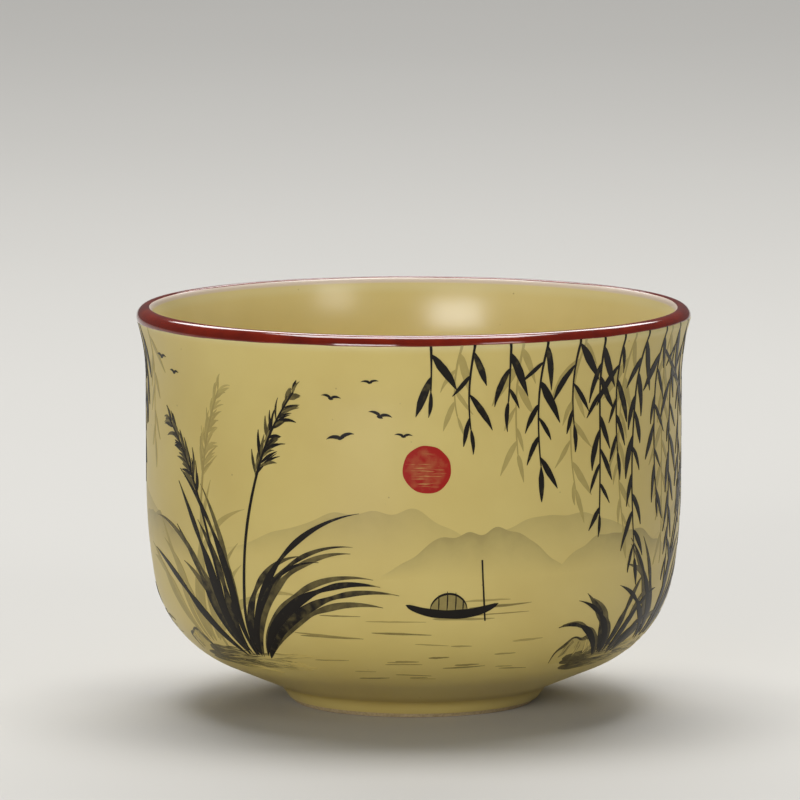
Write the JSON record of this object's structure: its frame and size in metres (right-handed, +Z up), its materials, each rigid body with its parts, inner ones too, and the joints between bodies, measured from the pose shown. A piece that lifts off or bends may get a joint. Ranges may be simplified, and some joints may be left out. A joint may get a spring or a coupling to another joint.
{
  "type": "tea cup",
  "caption": "Round tea cup without a handle, with upright glazed walls, a gently flared lip under an enamel band, and a low foot ring to stand on.",
  "frame": {"origin": "centre of the foot ring's standing face, on the surface the cup stands on", "axes": "+Z up along the axis that the cup is turned about; X and Y are level, and any turn about Z is alike"},
  "size_m": [0.085, 0.085, 0.061],
  "materials": {
    "stoneware": "bare fired clay, matte and slightly gritty",
    "pale_glaze": "pale yellow satin glaze with fine specks",
    "rim_enamel": "glossy ox-blood red enamel",
    "ink_print": "brown-black underglaze brushwork, from dense ink to pale wash",
    "red_print": "brick red underglaze brushwork"
  },
  "bodies": {
    "root": {"clay_body": "stoneware", "foot_ring": "stoneware", "outer_glaze": "pale_glaze", "inner_glaze": "pale_glaze", "base_glaze": "pale_glaze", "rim_band": "rim_enamel"}
  },
  "joints": []
}
